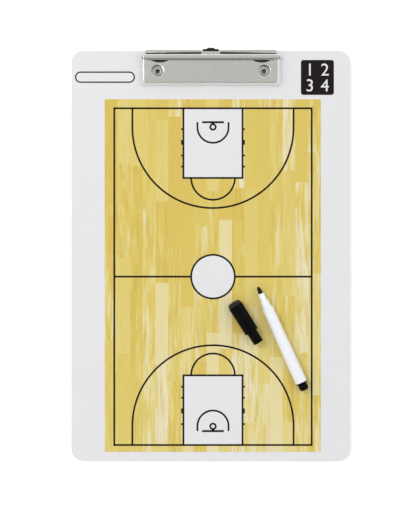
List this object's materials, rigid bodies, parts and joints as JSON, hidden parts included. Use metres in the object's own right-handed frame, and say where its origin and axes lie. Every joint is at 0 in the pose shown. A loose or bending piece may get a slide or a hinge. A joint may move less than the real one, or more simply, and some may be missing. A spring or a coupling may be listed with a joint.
{
  "type": "tactics board",
  "caption": "Basketball tactics board: printed dry-erase panel with a sprung steel clip, a pull-out hanging tab and a marker with its eraser cap off.",
  "frame": {"origin": "centre of the board's back face", "axes": "+X across the board to the right, +Y along the board towards the clip, +Z out of the printed face"},
  "size_m": [0.24, 0.3554, 0.0162],
  "materials": {
    "panel_core": "sawn edge of a white plastic panel",
    "printed_film": "glossy dry-erase film with a printed court",
    "plain_film": "plain white film",
    "nickel_steel": "nickel-plated steel sheet",
    "rivet_steel": "nickel-plated rivets",
    "spring_wire": "drawn spring wire",
    "tab_plastic": "black moulded plastic",
    "barrel_plastic": "white moulded polypropylene",
    "cap_plastic": "black moulded plastic, polished",
    "nib_fibre": "inked fibre",
    "ink_fibre": "fibre rod soaked in ink",
    "wrap_film": "thin clear film",
    "liner_plastic": "soft natural plastic",
    "felt": "pressed dark grey felt"
  },
  "bodies": {
    "board": {"core_panel": "panel_core", "dry_erase_film": "printed_film", "back_film": "plain_film", "clip_base_plate": "nickel_steel", "tab_cover": "nickel_steel", "clip_rivets": "rivet_steel", "hinge_rod": "nickel_steel", "left_spring": "spring_wire", "right_spring": "spring_wire", "tab_stop_rivet": "rivet_steel"},
    "clamp": {"clamp_plate": "nickel_steel"},
    "tab": {"hanging_tab": "tab_plastic"},
    "marker": {"marker_end_plug": "cap_plastic", "marker_barrel": "barrel_plastic", "marker_nib_holder": "barrel_plastic", "marker_nib": "nib_fibre", "marker_ink_core": "ink_fibre", "marker_ink_wrap": "wrap_film"},
    "cap": {"cap_shell": "cap_plastic", "cap_seal_liner": "liner_plastic", "cap_eraser_felt": "felt"}
  },
  "joints": [
    {"name": "clamp_hinge", "type": "hinge", "parent": "board", "child": "clamp", "pos_m": [0, 0.1704, 0.008], "axis": [-1, 0, 0], "range_deg": [0, 35], "stiffness_Nm_per_rad": 0.02, "springref_deg": -51.57, "deforming": ["left_spring", "right_spring"]},
    {"name": "tab_slide", "type": "slide", "parent": "board", "child": "tab", "axis": [0, 1, 0], "range_m": [0, 0.011]},
    {"name": "marker_lift", "type": "slide", "parent": "board", "child": "marker", "axis": [0, 0, 1], "range_m": [0, 0.08]},
    {"name": "cap_lift", "type": "slide", "parent": "board", "child": "cap", "axis": [0, 0, 1], "range_m": [0, 0.08]}
  ]
}
